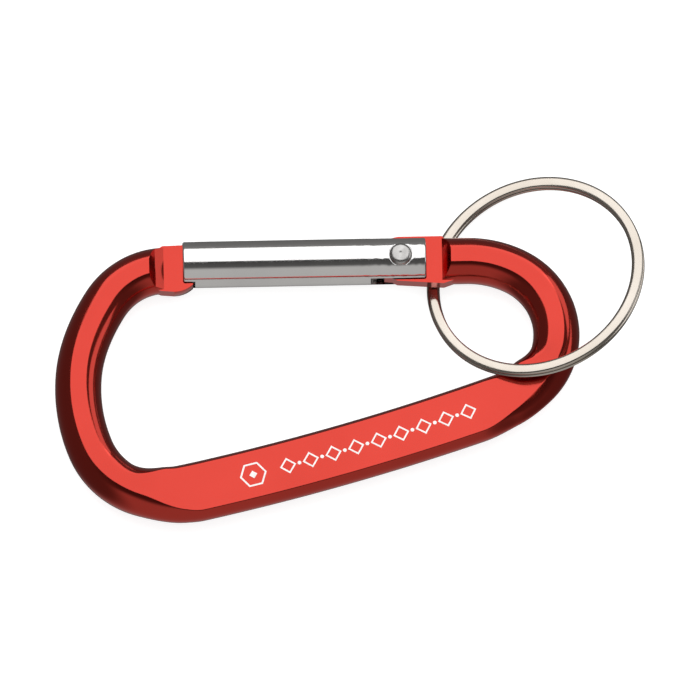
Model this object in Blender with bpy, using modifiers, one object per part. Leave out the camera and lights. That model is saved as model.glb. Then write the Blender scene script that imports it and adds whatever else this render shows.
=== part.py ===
"""Carabiner keyring: a flattened bar bent into a loop, a sprung gate across its mouth, and a split ring.

Run with: blender --background --python part.py

The model is drawn in the gate's frame: X along the closed gate, from its latch end to its hinge end,
Y square to the gate and away from the spine, Z up through the rivet, and Z = 0 on the gate's centre line.
At the end the whole object is moved so that the origin is under the centre of its box.
"""

import math

import bmesh
import bpy
from mathutils import Matrix, Vector

MM = 0.001
CLEARANCE = 0.3 * MM

# Bar: a round rod with a narrow flat along its top and bottom.
BAR_HALF_WIDTH = 3.1 * MM
BAR_HALF_HEIGHT = 2.95 * MM
BAR_HALF_FLAT = 1.0 * MM

# Spine: the same rod, pressed flat and wide.
SPINE_HALF_WIDTH = 4.1 * MM
SPINE_HALF_HEIGHT = 1.75 * MM
SPINE_HALF_FLAT = 3.25 * MM

# Where each side of the bar swells into the spine and narrows again, as (start, length) along the centre line.
# The die's ends are square to the spine, so the outer side of each corner is pressed later and released sooner.
INNER_PRESS = (23.5 * MM, 5.5 * MM)
OUTER_PRESS = (29.0 * MM, 9.0 * MM)
INNER_RELEASE = (80.5 * MM, 7.5 * MM)
OUTER_RELEASE = (76.5 * MM, 7.5 * MM)
THINNING = (22.8 * MM, 7.0 * MM)
THICKENING = (78.5 * MM, 8.5 * MM)

# Centre line of the bar, walked from the hinge shoulder round to the nose shoulder, always turning right.
# Each bend is its radius, its turn in degrees and its number of steps. The spine's radius, and the straight
# before the first bend, are solved so that the line ends on the nose shoulder.
HINGE_SHOULDER = Vector((18.4, -0.15)) * MM
NOSE_SHOULDER = Vector((-18.6, -0.75)) * MM
HINGE_BEND = (13.92 * MM, 27.5, 5)
SMALL_END = (10.08 * MM, 132.9, 30)
SPINE_TURN = 7.7
SPINE_STEPS = 9
LOWER_CORNER = (10.75 * MM, 80.9, 18)
BIG_END = (22.73 * MM, 54, 10)
UPPER_CORNER = (9.93 * MM, 57, 11)
SIDE_STEPS = 8

# Flattened ends of the bar, which enter the gate's slots.
PLATE_HALF_HEIGHT = 1.0 * MM
HINGE_SLOPE = (0.6 * MM, 0.975 * MM)
NOSE_SLOPE = (1.15 * MM, 0.66 * MM)
STEEP_RUN = 0.615
NOSE_FLAT_EXTRA = 0.25 * MM
RING_NOTCH_EXTRA = 0.6 * MM
TONGUE_OFFSET = -0.22 * MM
TONGUE_RADIUS = 3.33 * MM
NOSE_TIP = -14.95 * MM
NOSE_TOP = 2.5 * MM
NOSE_BOTTOM = -4.07 * MM
NOSE_ARC_RADIUS = 3.7 * MM

# Gate: a turned rod with a slot through each end.
GATE_RADIUS = 3.1 * MM
GATE_HALF_LENGTH = 16.3 * MM
GATE_ROUNDING = 0.3 * MM
SLOT_HALF_HEIGHT = PLATE_HALF_HEIGHT + CLEARANCE
NOSE_SLOT_ROOT = NOSE_TIP + CLEARANCE
HINGE_SLOT_ROOT = 8.82 * MM

# Rivet, through the gate's ears and the bar's tongue.
RIVET_X = 12.87 * MM
RIVET_RADIUS = 0.95 * MM
RIVET_HEAD_RADIUS = 1.53 * MM
RIVET_TOP = 3.45 * MM
RIVET_SEAT = 2.75 * MM
RIVET_RIM = 0.12 * MM

# Closing mechanism, in a blind bore along the gate.
BORE_RADIUS = 1.2 * MM
BORE_END = -3.3 * MM
PLUNGER_RADIUS = 0.88 * MM
PLUNGER_LENGTH = 3.8 * MM
SPRING_WIRE_RADIUS = 0.15 * MM
SPRING_RADIUS = 0.72 * MM
SPRING_TURNS = 11
CAM_START_RADIUS = 2.35 * MM
CAM_END_RADIUS = 3.45 * MM
CAM_START = -6
CAM_END = 50
LUG_LENGTH = HINGE_SLOT_ROOT + CLEARANCE
LUG_LOW = 1.15 * MM
LUG_HIGH = 2.6 * MM

# Split ring: two coils of flat wire, lying under the tongue and over the small end of the bar.
RING_OUTER_RADIUS = 14.95 * MM
RING_HALF_WIDTH = 0.8 * MM
RING_HALF_HEIGHT = 0.75 * MM
RING_CORNER = 0.4 * MM
RING_GROOVE = 0.12 * MM
RING_CENTRE = Vector((30.87, -3.1, 1.43)) * MM
RING_RISE_X = 0.259
RING_RISE_Y = -0.182
RING_STEPS = 64
RING_PIVOT = Vector((24.261, -0.418, -3.113)) * MM


def clear_scene():
    for obj in list(bpy.data.objects):
        bpy.data.objects.remove(obj, do_unlink=True)


def new_collection(name):
    collection = bpy.data.collections.new(name)
    bpy.context.scene.collection.children.link(collection)
    return collection


def new_material(name, colour, metallic, roughness):
    material = bpy.data.materials.new(name)
    material.use_nodes = True
    shader = material.node_tree.nodes["Principled BSDF"]
    shader.inputs["Base Color"].default_value = (*colour, 1.0)
    shader.inputs["Metallic"].default_value = metallic
    shader.inputs["Roughness"].default_value = roughness
    return material


def new_empty(name, location, parent):
    empty = bpy.data.objects.new(name, None)
    empty.empty_display_size = 4 * MM
    empty.location = location
    empty.parent = parent
    parts.objects.link(empty)
    return empty


def add_object(name, data, material, parent, collection):
    obj = bpy.data.objects.new(name, data)
    if material:
        data.materials.append(material)
    obj.parent = parent
    collection.objects.link(obj)
    return obj


def make_cutter(obj):
    obj.hide_render = True
    obj.display_type = "WIRE"
    return obj


def mesh_from(name, bm):
    bmesh.ops.recalc_face_normals(bm, faces=bm.faces)
    mesh = bpy.data.meshes.new(name)
    bm.to_mesh(mesh)
    bm.free()
    return mesh


def smooth_by_angle(obj, degrees):
    obj.data.shade_smooth()
    obj.data.set_sharp_from_angle(angle=math.radians(degrees))


def boolean(obj, other, operation):
    modifier = obj.modifiers.new(other.name, "BOOLEAN")
    modifier.operation = operation
    modifier.solver = "EXACT"
    modifier.object = other


def plate(name, outline, low, high, parent):
    """A flat plate with the given XY outline between two heights, used in a Boolean."""
    bm = bmesh.new()
    face = bm.faces.new([bm.verts.new((x, y, low)) for x, y in outline])
    grown = bmesh.ops.extrude_face_region(bm, geom=[face])
    top = [item for item in grown["geom"] if isinstance(item, bmesh.types.BMVert)]
    bmesh.ops.translate(bm, verts=top, vec=(0, 0, high - low))
    return make_cutter(add_object(name, mesh_from(name, bm), None, parent, cutters))


def box(name, low, high, parent):
    bm = bmesh.new()
    bmesh.ops.create_cube(bm, size=1)
    size = Vector(high) - Vector(low)
    bmesh.ops.scale(bm, vec=size, verts=bm.verts)
    bmesh.ops.translate(bm, vec=Vector(low) + size / 2, verts=bm.verts)
    return make_cutter(add_object(name, mesh_from(name, bm), None, parent, cutters))


def cylinder(name, radius, low, high, axis, centre, sides, parent):
    """A cylinder along X or Z, between two positions on that axis, used in a Boolean."""
    bm = bmesh.new()
    bmesh.ops.create_cone(bm, cap_ends=True, segments=sides, radius1=radius, radius2=radius, depth=high - low)
    bmesh.ops.translate(bm, vec=(0, 0, (low + high) / 2), verts=bm.verts)
    if axis == "X":
        bmesh.ops.rotate(bm, cent=(0, 0, 0), matrix=Matrix.Rotation(math.pi / 2, 3, "Y"), verts=bm.verts)
    bmesh.ops.translate(bm, vec=centre, verts=bm.verts)
    return make_cutter(add_object(name, mesh_from(name, bm), None, parent, cutters))


def turned(name, profile, steps, material, parent, closed):
    """A profile in the XZ plane, run down its outer side, turned once about Z."""
    mesh = bpy.data.meshes.new(name)
    edges = [(i, i + 1) for i in range(len(profile) - 1)]
    if closed:
        edges.append((len(profile) - 1, 0))
    mesh.from_pydata([(x, 0, z) for x, z in profile], edges, [])
    obj = add_object(name, mesh, material, parent, parts)
    screw = obj.modifiers.new("Turn", "SCREW")
    screw.steps = steps
    screw.render_steps = steps
    screw.use_merge_vertices = True
    screw.merge_threshold = 0.000001
    screw.use_smooth_shade = True
    return obj


def arc(centre, radius, start, end, steps):
    """Points on an arc, with both angles in degrees."""
    angles = [math.radians(start + (end - start) * i / steps) for i in range(steps + 1)]
    return [(centre[0] + radius * math.cos(a), centre[1] + radius * math.sin(a)) for a in angles]


def ease(value):
    value = min(max(value, 0.0), 1.0)
    return value * value * (3 - 2 * value)


def bend_offset(turn, heading):
    """Where a right-hand bend of radius 1 ends, from its start, for a turn and a heading in degrees."""
    forward = math.sin(math.radians(turn))
    aside = 1 - math.cos(math.radians(turn))
    angle = math.radians(heading)
    along = Vector((math.cos(angle), math.sin(angle)))
    right = Vector((math.sin(angle), -math.cos(angle)))
    return forward * along + aside * right


def bar_legs():
    """Every leg of the centre line as (length, turn in degrees, steps), from the hinge to the nose."""
    before = [HINGE_BEND, SMALL_END]
    after = [LOWER_CORNER, BIG_END, UPPER_CORNER]
    heading = 0
    known = Vector((0, 0))
    for radius, turn, steps in before:
        known += radius * bend_offset(turn, heading)
        heading -= turn
    spine = bend_offset(SPINE_TURN, heading)
    heading -= SPINE_TURN
    for radius, turn, steps in after:
        known += radius * bend_offset(turn, heading)
        heading -= turn
    missing = NOSE_SHOULDER - HINGE_SHOULDER - known
    spine_radius = missing.y / spine.y
    straight = missing.x - spine_radius * spine.x
    bends = before + [(spine_radius, SPINE_TURN, SPINE_STEPS)] + after
    return [(straight, 0, 2)] + [(r * math.radians(t), t, n) for r, t, n in bends]


def bar_stations():
    """Points along the centre line as (position, heading in radians, distance walked)."""
    position = HINGE_SHOULDER.copy()
    heading = 0.0
    walked = 0.0
    stations = [(position.copy(), heading, walked)]
    for length, turn, steps in bar_legs():
        for _ in range(steps):
            half = math.radians(turn) / steps / 2
            chord = length / steps * (math.sin(half) / half if half else 1)
            heading -= half
            position += chord * Vector((math.cos(heading), math.sin(heading)))
            heading -= half
            walked += length / steps
            stations.append((position.copy(), heading, walked))
    return stations


def pressed_side(walked, press, release, half_height):
    """One side of the bar's section there, from its top edge to its bottom edge, as (sideways, up) points."""
    pressed = ease((walked - press[0]) / press[1]) - ease((walked - release[0]) / release[1])
    half_width = BAR_HALF_WIDTH + (SPINE_HALF_WIDTH - BAR_HALF_WIDTH) * pressed
    half_flat = BAR_HALF_FLAT + (SPINE_HALF_FLAT - BAR_HALF_FLAT) * pressed
    edge = math.acos(half_flat / half_width)
    crown = half_height / math.sin(edge)
    angles = [edge * (1 - 2 * i / SIDE_STEPS) for i in range(SIDE_STEPS + 1)]
    return [(half_width * math.cos(a), crown * math.sin(a)) for a in angles]


def bar_section(walked):
    """The bar's section there, as (sideways, up) points: down its outer side, then up its inner side."""
    thinned = ease((walked - THINNING[0]) / THINNING[1]) - ease((walked - THICKENING[0]) / THICKENING[1])
    half_height = BAR_HALF_HEIGHT + (SPINE_HALF_HEIGHT - BAR_HALF_HEIGHT) * thinned
    outer = pressed_side(walked, OUTER_PRESS, OUTER_RELEASE, half_height)
    inner = pressed_side(walked, INNER_PRESS, INNER_RELEASE, half_height)
    return outer + [(-sideways, up) for sideways, up in reversed(inner)]


def loft_bar(bm):
    loops = []
    for position, heading, walked in bar_stations():
        left = Vector((-math.sin(heading), math.cos(heading)))
        points = [(position + left * sideways, up) for sideways, up in bar_section(walked)]
        loops.append([bm.verts.new((flat.x, flat.y, up)) for flat, up in points])
    for near, far in zip(loops, loops[1:]):
        for i in range(len(near)):
            j = (i + 1) % len(near)
            bm.faces.new((near[i], near[j], far[j], far[i]))
    bm.faces.new(loops[0])
    bm.faces.new(loops[-1])


def shoulder_wedge(name, shoulder, slope, direction, side, parent):
    """Clears one side of the bar beyond a shoulder. From the plate it climbs the slope, given as
    (run, rise), and then a steep face. Direction points at the gate."""
    run, rise = slope
    under = 0.4 * MM
    depth = PLATE_HALF_HEIGHT - under
    bend_height = PLATE_HALF_HEIGHT + rise
    high = BAR_HALF_HEIGHT + 1.0 * MM
    low_x = shoulder + direction * under * run / rise
    bend_x = shoulder - direction * run
    high_x = bend_x - direction * STEEP_RUN * (high - bend_height)
    far_x = shoulder + direction * 3 * MM
    profile = [(low_x, depth), (bend_x, bend_height), (high_x, high), (far_x, high), (far_x, depth)]
    bm = bmesh.new()
    face = bm.faces.new([bm.verts.new((x, -6 * MM, side * z)) for x, z in profile])
    grown = bmesh.ops.extrude_face_region(bm, geom=[face])
    moved = [item for item in grown["geom"] if isinstance(item, bmesh.types.BMVert)]
    bmesh.ops.translate(bm, verts=moved, vec=(0, 12 * MM, 0))
    return make_cutter(add_object(name, mesh_from(name, bm), None, parent, cutters))


def tongue_outline():
    """The hinge tongue, with a heel, a spiral cam for the plunger and a lug as the closed stop."""
    centre = (RIVET_X, TONGUE_OFFSET)
    heel = [(RIVET_X - 0.5 * MM, -3.08 * MM), (RIVET_X - 1.2 * MM, -2.7 * MM)]
    cam = []
    steps = 9
    for i in range(steps + 1):
        angle = CAM_END + (CAM_START - CAM_END) * i / steps
        radius = CAM_END_RADIUS + (CAM_START_RADIUS - CAM_END_RADIUS) * i / steps
        cam.append((RIVET_X - radius * math.cos(math.radians(angle)), -radius * math.sin(math.radians(angle))))
    lug = [
        (RIVET_X - CAM_START_RADIUS, LUG_LOW),
        (LUG_LENGTH, LUG_LOW),
        (LUG_LENGTH, LUG_HIGH - 0.4 * MM),
        (LUG_LENGTH + 0.4 * MM, LUG_HIGH),
    ]
    lug_angle = 180 - math.degrees(math.asin((LUG_HIGH - TONGUE_OFFSET) / TONGUE_RADIUS))
    upper = arc(centre, TONGUE_RADIUS, lug_angle, 90, 4)
    shoulder = HINGE_SHOULDER.x
    bottom = TONGUE_OFFSET - TONGUE_RADIUS
    top = TONGUE_OFFSET + TONGUE_RADIUS
    root_top = [(shoulder, top), (shoulder + 0.5 * MM, 2.6 * MM), (shoulder + 2.6 * MM, 2.3 * MM)]
    root_bottom = [(shoulder + 2.6 * MM, -2.7 * MM), (shoulder + 0.2 * MM, bottom)]
    return heel + cam + lug + upper + root_top + root_bottom


def nose_outline():
    """The nose: a rounded hook that the gate's slot closes on."""
    arc_centre = (NOSE_TIP - 2.55 * MM, NOSE_BOTTOM + NOSE_ARC_RADIUS)
    tip_angle = -math.degrees(math.acos(2.55 * MM / NOSE_ARC_RADIUS))
    lower = arc(arc_centre, NOSE_ARC_RADIUS, -90, tip_angle, 6)
    corner = arc((NOSE_TIP - 0.6 * MM, NOSE_TOP - 0.6 * MM), 0.6 * MM, 0, 90, 3)
    shoulder = NOSE_SHOULDER.x
    root_top = [(shoulder - 0.4 * MM, NOSE_TOP - 0.1 * MM), (shoulder - 2.6 * MM, 0.9 * MM)]
    root_bottom = [(shoulder - 2.6 * MM, -3.2 * MM), (shoulder - 0.6 * MM, NOSE_BOTTOM + 0.15 * MM)]
    return lower + corner + root_top + root_bottom


def build_frame(parent, material):
    bm = bmesh.new()
    loft_bar(bm)
    frame = add_object("frame", mesh_from("frame", bm), material, parent, parts)
    hinge_x = HINGE_SHOULDER.x
    nose_x = NOSE_SHOULDER.x - NOSE_FLAT_EXTRA
    under_x = hinge_x + RING_NOTCH_EXTRA
    boolean(frame, shoulder_wedge("hinge_shoulder_cutter", hinge_x, HINGE_SLOPE, -1, 1, parent), "DIFFERENCE")
    boolean(frame, shoulder_wedge("ring_notch_cutter", under_x, HINGE_SLOPE, -1, -1, parent), "DIFFERENCE")
    boolean(frame, shoulder_wedge("nose_top_cutter", nose_x, NOSE_SLOPE, 1, 1, parent), "DIFFERENCE")
    boolean(frame, shoulder_wedge("nose_under_cutter", nose_x, NOSE_SLOPE, 1, -1, parent), "DIFFERENCE")
    low, high = -PLATE_HALF_HEIGHT, PLATE_HALF_HEIGHT
    boolean(frame, plate("tongue_blank", tongue_outline(), low, high, parent), "UNION")
    boolean(frame, plate("nose_blank", nose_outline(), low, high, parent), "UNION")
    hole_radius = RIVET_RADIUS + CLEARANCE
    hole = cylinder("tongue_hole_cutter", hole_radius, -3 * MM, 3 * MM, "Z", (RIVET_X, 0, 0), 32, parent)
    boolean(frame, hole, "DIFFERENCE")
    smooth_by_angle(frame, 15)
    return frame


def build_gate(pivot, material):
    """The gate's mesh is drawn from the pivot, so X runs from the rivet."""
    bm = bmesh.new()
    bmesh.ops.create_cone(
        bm,
        cap_ends=True,
        segments=64,
        radius1=GATE_RADIUS,
        radius2=GATE_RADIUS,
        depth=2 * GATE_HALF_LENGTH,
    )
    rims = [edge for edge in bm.edges if abs(edge.verts[0].co.z - edge.verts[1].co.z) < GATE_ROUNDING]
    bmesh.ops.bevel(bm, geom=rims, offset=GATE_ROUNDING, segments=3, profile=0.5, affect="EDGES")
    bmesh.ops.rotate(bm, cent=(0, 0, 0), matrix=Matrix.Rotation(math.pi / 2, 3, "Y"), verts=bm.verts)
    bmesh.ops.translate(bm, vec=(-RIVET_X, 0, 0), verts=bm.verts)
    gate = add_object("gate", mesh_from("gate", bm), material, pivot, parts)

    hinge_root = HINGE_SLOT_ROOT - RIVET_X
    nose_root = NOSE_SLOT_ROOT - RIVET_X
    tail = GATE_HALF_LENGTH - RIVET_X
    beyond = GATE_HALF_LENGTH + 2 * MM
    across = 5 * MM
    slot = SLOT_HALF_HEIGHT
    hinge_slot = box("hinge_slot_cutter", (hinge_root, -across, -slot), (tail + 2 * MM, across, slot), pivot)
    nose_slot = box("nose_slot_cutter", (-RIVET_X - beyond, -across, -slot), (nose_root, across, slot), pivot)
    boolean(gate, hinge_slot, "DIFFERENCE")
    boolean(gate, nose_slot, "DIFFERENCE")

    hole_radius = RIVET_RADIUS + CLEARANCE
    seat_radius = RIVET_HEAD_RADIUS + CLEARANCE
    hole = cylinder("rivet_hole_cutter", hole_radius, -5 * MM, 5 * MM, "Z", (0, 0, 0), 32, pivot)
    top_seat = cylinder("top_seat_cutter", seat_radius, RIVET_SEAT, 5 * MM, "Z", (0, 0, 0), 40, pivot)
    under_seat = cylinder("under_seat_cutter", seat_radius, -5 * MM, -RIVET_SEAT, "Z", (0, 0, 0), 40, pivot)
    for cutter in (hole, top_seat, under_seat):
        boolean(gate, cutter, "DIFFERENCE")

    bore_start = BORE_END - RIVET_X
    bore = cylinder("bore_cutter", BORE_RADIUS, bore_start, hinge_root + 1 * MM, "X", (0, 0, 0), 24, pivot)
    boolean(gate, bore, "DIFFERENCE")

    # The under ear is rounded about the rivet, so that it turns clear of the split ring in the notch.
    under = -SLOT_HALF_HEIGHT + 0.5 * MM
    ear = box("under_ear_cutter", (0, -across, -across), (tail + 2 * MM, across, under), pivot)
    keep = cylinder("under_ear_keep", tail, -2 * across, 2 * across, "Z", (0, 0, 0), 64, pivot)
    boolean(ear, keep, "DIFFERENCE")
    boolean(gate, ear, "DIFFERENCE")
    smooth_by_angle(gate, 20)
    return gate


def build_rivet(pivot, material):
    """A shank with a low dome at each end."""
    dome_edge = RIVET_SEAT + CLEARANCE + RIVET_RIM
    dome_rise = RIVET_TOP - dome_edge
    dome_radius = (RIVET_HEAD_RADIUS**2 + dome_rise**2) / (2 * dome_rise)
    span = math.asin(RIVET_HEAD_RADIUS / dome_radius)
    steps = 6
    dome = []
    for i in range(steps + 1):
        angle = span * i / steps
        dome.append((dome_radius * math.sin(angle), RIVET_TOP - dome_radius * (1 - math.cos(angle))))
    neck = [(RIVET_HEAD_RADIUS, RIVET_SEAT + CLEARANCE), (RIVET_RADIUS, RIVET_SEAT + CLEARANCE)]
    upper = dome + neck
    profile = upper + [(x, -z) for x, z in reversed(upper)]
    rivet = turned("rivet", profile, 32, material, pivot, closed=False)
    return rivet


def build_plunger(guide, material):
    """A round-nosed pin along X. Its object sits on the gate's centre line at the pin's nose."""
    nose = [
        (PLUNGER_RADIUS * math.sin(math.radians(a)), -PLUNGER_RADIUS * (1 - math.cos(math.radians(a))))
        for a in range(0, 91, 15)
    ]
    tail = [
        (PLUNGER_RADIUS, -PLUNGER_LENGTH + 0.15 * MM),
        (PLUNGER_RADIUS - 0.15 * MM, -PLUNGER_LENGTH),
        (0, -PLUNGER_LENGTH),
    ]
    plunger = turned("plunger", nose + tail, 24, material, guide, closed=False)
    plunger.rotation_euler = (0, math.pi / 2, 0)
    return plunger


def build_spring(pivot, material, start, end):
    """A coil along X between two positions, as a poly curve with a round bevel."""
    curve = bpy.data.curves.new("gate_spring", "CURVE")
    curve.dimensions = "3D"
    curve.bevel_depth = SPRING_WIRE_RADIUS
    curve.bevel_resolution = 2
    curve.use_fill_caps = True
    per_turn = 12
    count = SPRING_TURNS * per_turn + 1
    spline = curve.splines.new("POLY")
    spline.points.add(count - 1)
    run = end - start - 2 * SPRING_WIRE_RADIUS
    for i, point in enumerate(spline.points):
        angle = 2 * math.pi * i / per_turn
        x = start + SPRING_WIRE_RADIUS + run * i / (count - 1)
        point.co = (x, SPRING_RADIUS * math.cos(angle), SPRING_RADIUS * math.sin(angle), 1)
    return add_object("gate_spring", curve, material, pivot, parts)


def ring_section():
    """Half of a rounded rectangle with a shallow groove between the coils, run down the outer side."""
    middle = RING_OUTER_RADIUS - RING_HALF_WIDTH
    across = RING_HALF_WIDTH - RING_CORNER
    up = RING_HALF_HEIGHT - RING_CORNER
    outer = arc((across, up), RING_CORNER, 90, 0, 3)
    groove = [(RING_HALF_WIDTH, 0.15 * MM), (RING_HALF_WIDTH - RING_GROOVE, 0), (RING_HALF_WIDTH, -0.15 * MM)]
    outer += groove + arc((across, -up), RING_CORNER, 0, -90, 3)
    inner = [(-x, z) for x, z in reversed(outer)]
    return [(middle + x, z) for x, z in outer + inner]


def ring_axes():
    """The ring's normal, and the direction in its plane that is square to X."""
    normal = Vector((-RING_RISE_X, -RING_RISE_Y, 1)).normalized()
    swing = Vector((0, 1, RING_RISE_Y)).normalized()
    return normal, swing


def build_ring(root, material):
    normal, swing = ring_axes()
    reach = swing.cross(normal).normalized()
    pivot = new_empty("ring_pivot", RING_PIVOT, root)
    ring = turned("split_ring", ring_section(), RING_STEPS, material, pivot, closed=True)
    turn = Matrix((reach, swing, normal)).transposed().to_4x4()
    ring.matrix_local = Matrix.Translation(RING_CENTRE - RING_PIVOT) @ turn
    return ring


def centre_on_origin(root):
    """Moves the whole object so that the origin is under the centre of its box."""
    bpy.context.view_layer.update()
    graph = bpy.context.evaluated_depsgraph_get()
    corners = []
    for obj in parts.objects:
        if obj.type == "EMPTY":
            continue
        evaluated = obj.evaluated_get(graph)
        mesh = evaluated.to_mesh()
        corners += [evaluated.matrix_world @ vertex.co for vertex in mesh.vertices]
        evaluated.to_mesh_clear()
    low = Vector([min(corner[i] for corner in corners) for i in range(3)])
    high = Vector([max(corner[i] for corner in corners) for i in range(3)])
    root.location = (-(low.x + high.x) / 2, -(low.y + high.y) / 2, -low.z)
    bpy.context.view_layer.update()


clear_scene()
parts = new_collection("carabiner_keyring")
cutters = new_collection("cutters")

red = new_material("red_anodised", (0.55, 0.03, 0.02), 0.9, 0.22)
aluminium = new_material("polished_aluminium", (0.78, 0.78, 0.79), 1.0, 0.18)
rivet_steel = new_material("rivet_steel", (0.5, 0.5, 0.51), 1.0, 0.3)
spring_steel = new_material("spring_steel", (0.35, 0.35, 0.36), 1.0, 0.35)
nickel = new_material("nickel", (0.66, 0.62, 0.56), 1.0, 0.15)

root = new_empty("keyring_root", (0, 0, 0), None)
build_frame(root, red)

gate_pivot = new_empty("gate_pivot", (RIVET_X, 0, 0), root)
build_gate(gate_pivot, aluminium)
build_rivet(gate_pivot, rivet_steel)

cam_contact = CAM_START_RADIUS - (CAM_END_RADIUS - CAM_START_RADIUS) * CAM_START / (CAM_END - CAM_START)
plunger_nose = -cam_contact - CLEARANCE
plunger_guide = new_empty("plunger_guide", (plunger_nose, 0, 0), gate_pivot)
build_plunger(plunger_guide, spring_steel)
spring_low = BORE_END + CLEARANCE - RIVET_X
spring_high = plunger_nose - PLUNGER_LENGTH - CLEARANCE
build_spring(gate_pivot, spring_steel, spring_low, spring_high)

build_ring(root, nickel)
centre_on_origin(root)
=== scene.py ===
# %% [markdown]
# # A carabiner keyring
# A keyring like this is six pieces of metal: a bent red bar, a turned gate that closes its mouth,
# the rivet the gate swings on, a spring and a plunger inside the gate that push it shut, and a
# split ring for the keys. The spring and the plunger are never seen, so their shapes are a guess.
# Every piece is drawn in millimetres from the middle of the gate, then moved to where the packed
# model keeps its gate. X runs along the gate towards its hinge, and Z is up.

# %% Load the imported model
import math

import bmesh
import bpy
from mathutils import Matrix, Vector


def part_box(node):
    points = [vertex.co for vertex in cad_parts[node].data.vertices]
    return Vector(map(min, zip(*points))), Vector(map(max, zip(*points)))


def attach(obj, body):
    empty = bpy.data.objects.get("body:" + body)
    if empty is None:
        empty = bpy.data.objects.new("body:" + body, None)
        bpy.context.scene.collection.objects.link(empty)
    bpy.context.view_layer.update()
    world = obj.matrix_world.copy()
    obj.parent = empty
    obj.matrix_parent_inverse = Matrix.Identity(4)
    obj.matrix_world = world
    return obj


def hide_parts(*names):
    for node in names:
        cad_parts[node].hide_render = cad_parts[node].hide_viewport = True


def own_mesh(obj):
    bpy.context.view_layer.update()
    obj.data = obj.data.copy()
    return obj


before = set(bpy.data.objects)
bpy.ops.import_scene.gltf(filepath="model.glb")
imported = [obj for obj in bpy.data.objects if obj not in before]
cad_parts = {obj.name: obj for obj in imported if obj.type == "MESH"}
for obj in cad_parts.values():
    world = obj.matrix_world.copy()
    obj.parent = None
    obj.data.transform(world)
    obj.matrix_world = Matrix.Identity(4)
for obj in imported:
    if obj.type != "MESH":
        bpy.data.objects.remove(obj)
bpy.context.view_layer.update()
MM = 0.001
gate_low, gate_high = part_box("gate")
GATE_MIDDLE = (gate_low + gate_high) / 2
print("gate middle, mm:", [round(value / MM, 3) for value in GATE_MIDDLE])


# %% [markdown]
# ## The camera
# A flat object is shown best by a camera high above it that has no perspective, so its bends keep
# their true radii. The camera here leans a little towards the spine's side, which shows the front
# of each bar.

# %% Camera
CAMERA_LEAN = math.radians(18.8)
CAMERA_TURN = math.radians(1.2)
CAMERA_ROLL = math.radians(-0.08)
VIEW_WIDTH = 93.6 * MM
VIEW_CENTRE = (-0.02 * MM, 1.1 * MM)
CAMERA_DISTANCE = 0.5

lean = Matrix.Rotation(-CAMERA_LEAN, 3, "X")
turn = Matrix.Rotation(CAMERA_TURN, 3, "Z")
roll = Matrix.Rotation(CAMERA_ROLL, 3, "Z")
to_camera = roll @ lean @ turn
camera_data = bpy.data.cameras.new("studio_camera")
camera_data.type = "ORTHO"
camera_data.ortho_scale = VIEW_WIDTH
camera_data.clip_end = 5
camera = bpy.data.objects.new("studio_camera", camera_data)
camera.matrix_world = to_camera.transposed().to_4x4()
camera.location = to_camera.transposed() @ Vector((*VIEW_CENTRE, CAMERA_DISTANCE))
bpy.context.scene.collection.objects.link(camera)
bpy.context.scene.camera = camera
bpy.context.scene.view_settings.view_transform = "Standard"
print("camera at", [round(value, 3) for value in camera.location])


# %% [markdown]
# ## The light
# Polished metal shows its surroundings, so the bands on the bar and the gate are really the shapes
# of the lamps. One wide softbox hangs overhead, a little behind the gate, and fills every flat
# face. A second, narrow one stands to the right and draws a thin line along the sides that face it.
# The room is grey in front, dim behind and nearly dark overhead. A lamp that mirrors can't see
# lights the floor and the white print alone.

# %% Lamps, room and floor
LAMP_WATTS = math.pi  # the power for each square metre that makes a lamp show a brightness of 1
NEUTRAL_SIDE = (0.12, 0.118, 0.115, 1)
DIM_START, DIM_FULL = 0.3, 0.75
ROOM_STOPS = [
    (-180, 0.3),
    (-150, 0.42),
    (-44, 0.44),
    (-32, 0.08),
    (-6, 0.05),
    (72, 0.2),
    (92, 0.15),
    (150, 0.12),
]
FLOOR_DROP = 0.05 * MM
PAPER_GREY, PAPER_GLOW = 0.45, 0.8


def softbox(name, direction, distance, size, radiance):
    """An area lamp that faces the origin, with its (width, height) and the brightness it shows."""
    lamp = bpy.data.lights.new(name, "AREA")
    lamp.shape = "RECTANGLE"
    lamp.size, lamp.size_y = size
    lamp.energy = radiance * size[0] * size[1] * LAMP_WATTS
    obj = bpy.data.objects.new(name, lamp)
    direction = Vector(direction).normalized()
    obj.location = direction * distance
    obj.rotation_euler = direction.to_track_quat("Z", "Y").to_euler()
    obj.visible_camera = False
    bpy.context.scene.collection.objects.link(obj)
    return obj


def on_arc(degrees):
    """A direction in the YZ plane, measured from straight up towards +Y."""
    return (0, math.sin(math.radians(degrees)), math.cos(math.radians(degrees)))


softbox("overhead_softbox", on_arc(33.5), 0.6, (0.9, 0.86), 1.25)
softbox("right_strip", (0.86, 0.33, 0.40), 0.6, (0.7, 0.26), 0.85)
fill = softbox("floor_fill", (0, 0, 1), 1.2, (2.4, 2.4), 1.0)
fill.visible_glossy = False


def colour_socket(sockets, name):
    """The colour socket with this name. A Mix node has others that share it."""
    return next(socket for socket in sockets if socket.name == name and socket.type == "RGBA")


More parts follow.
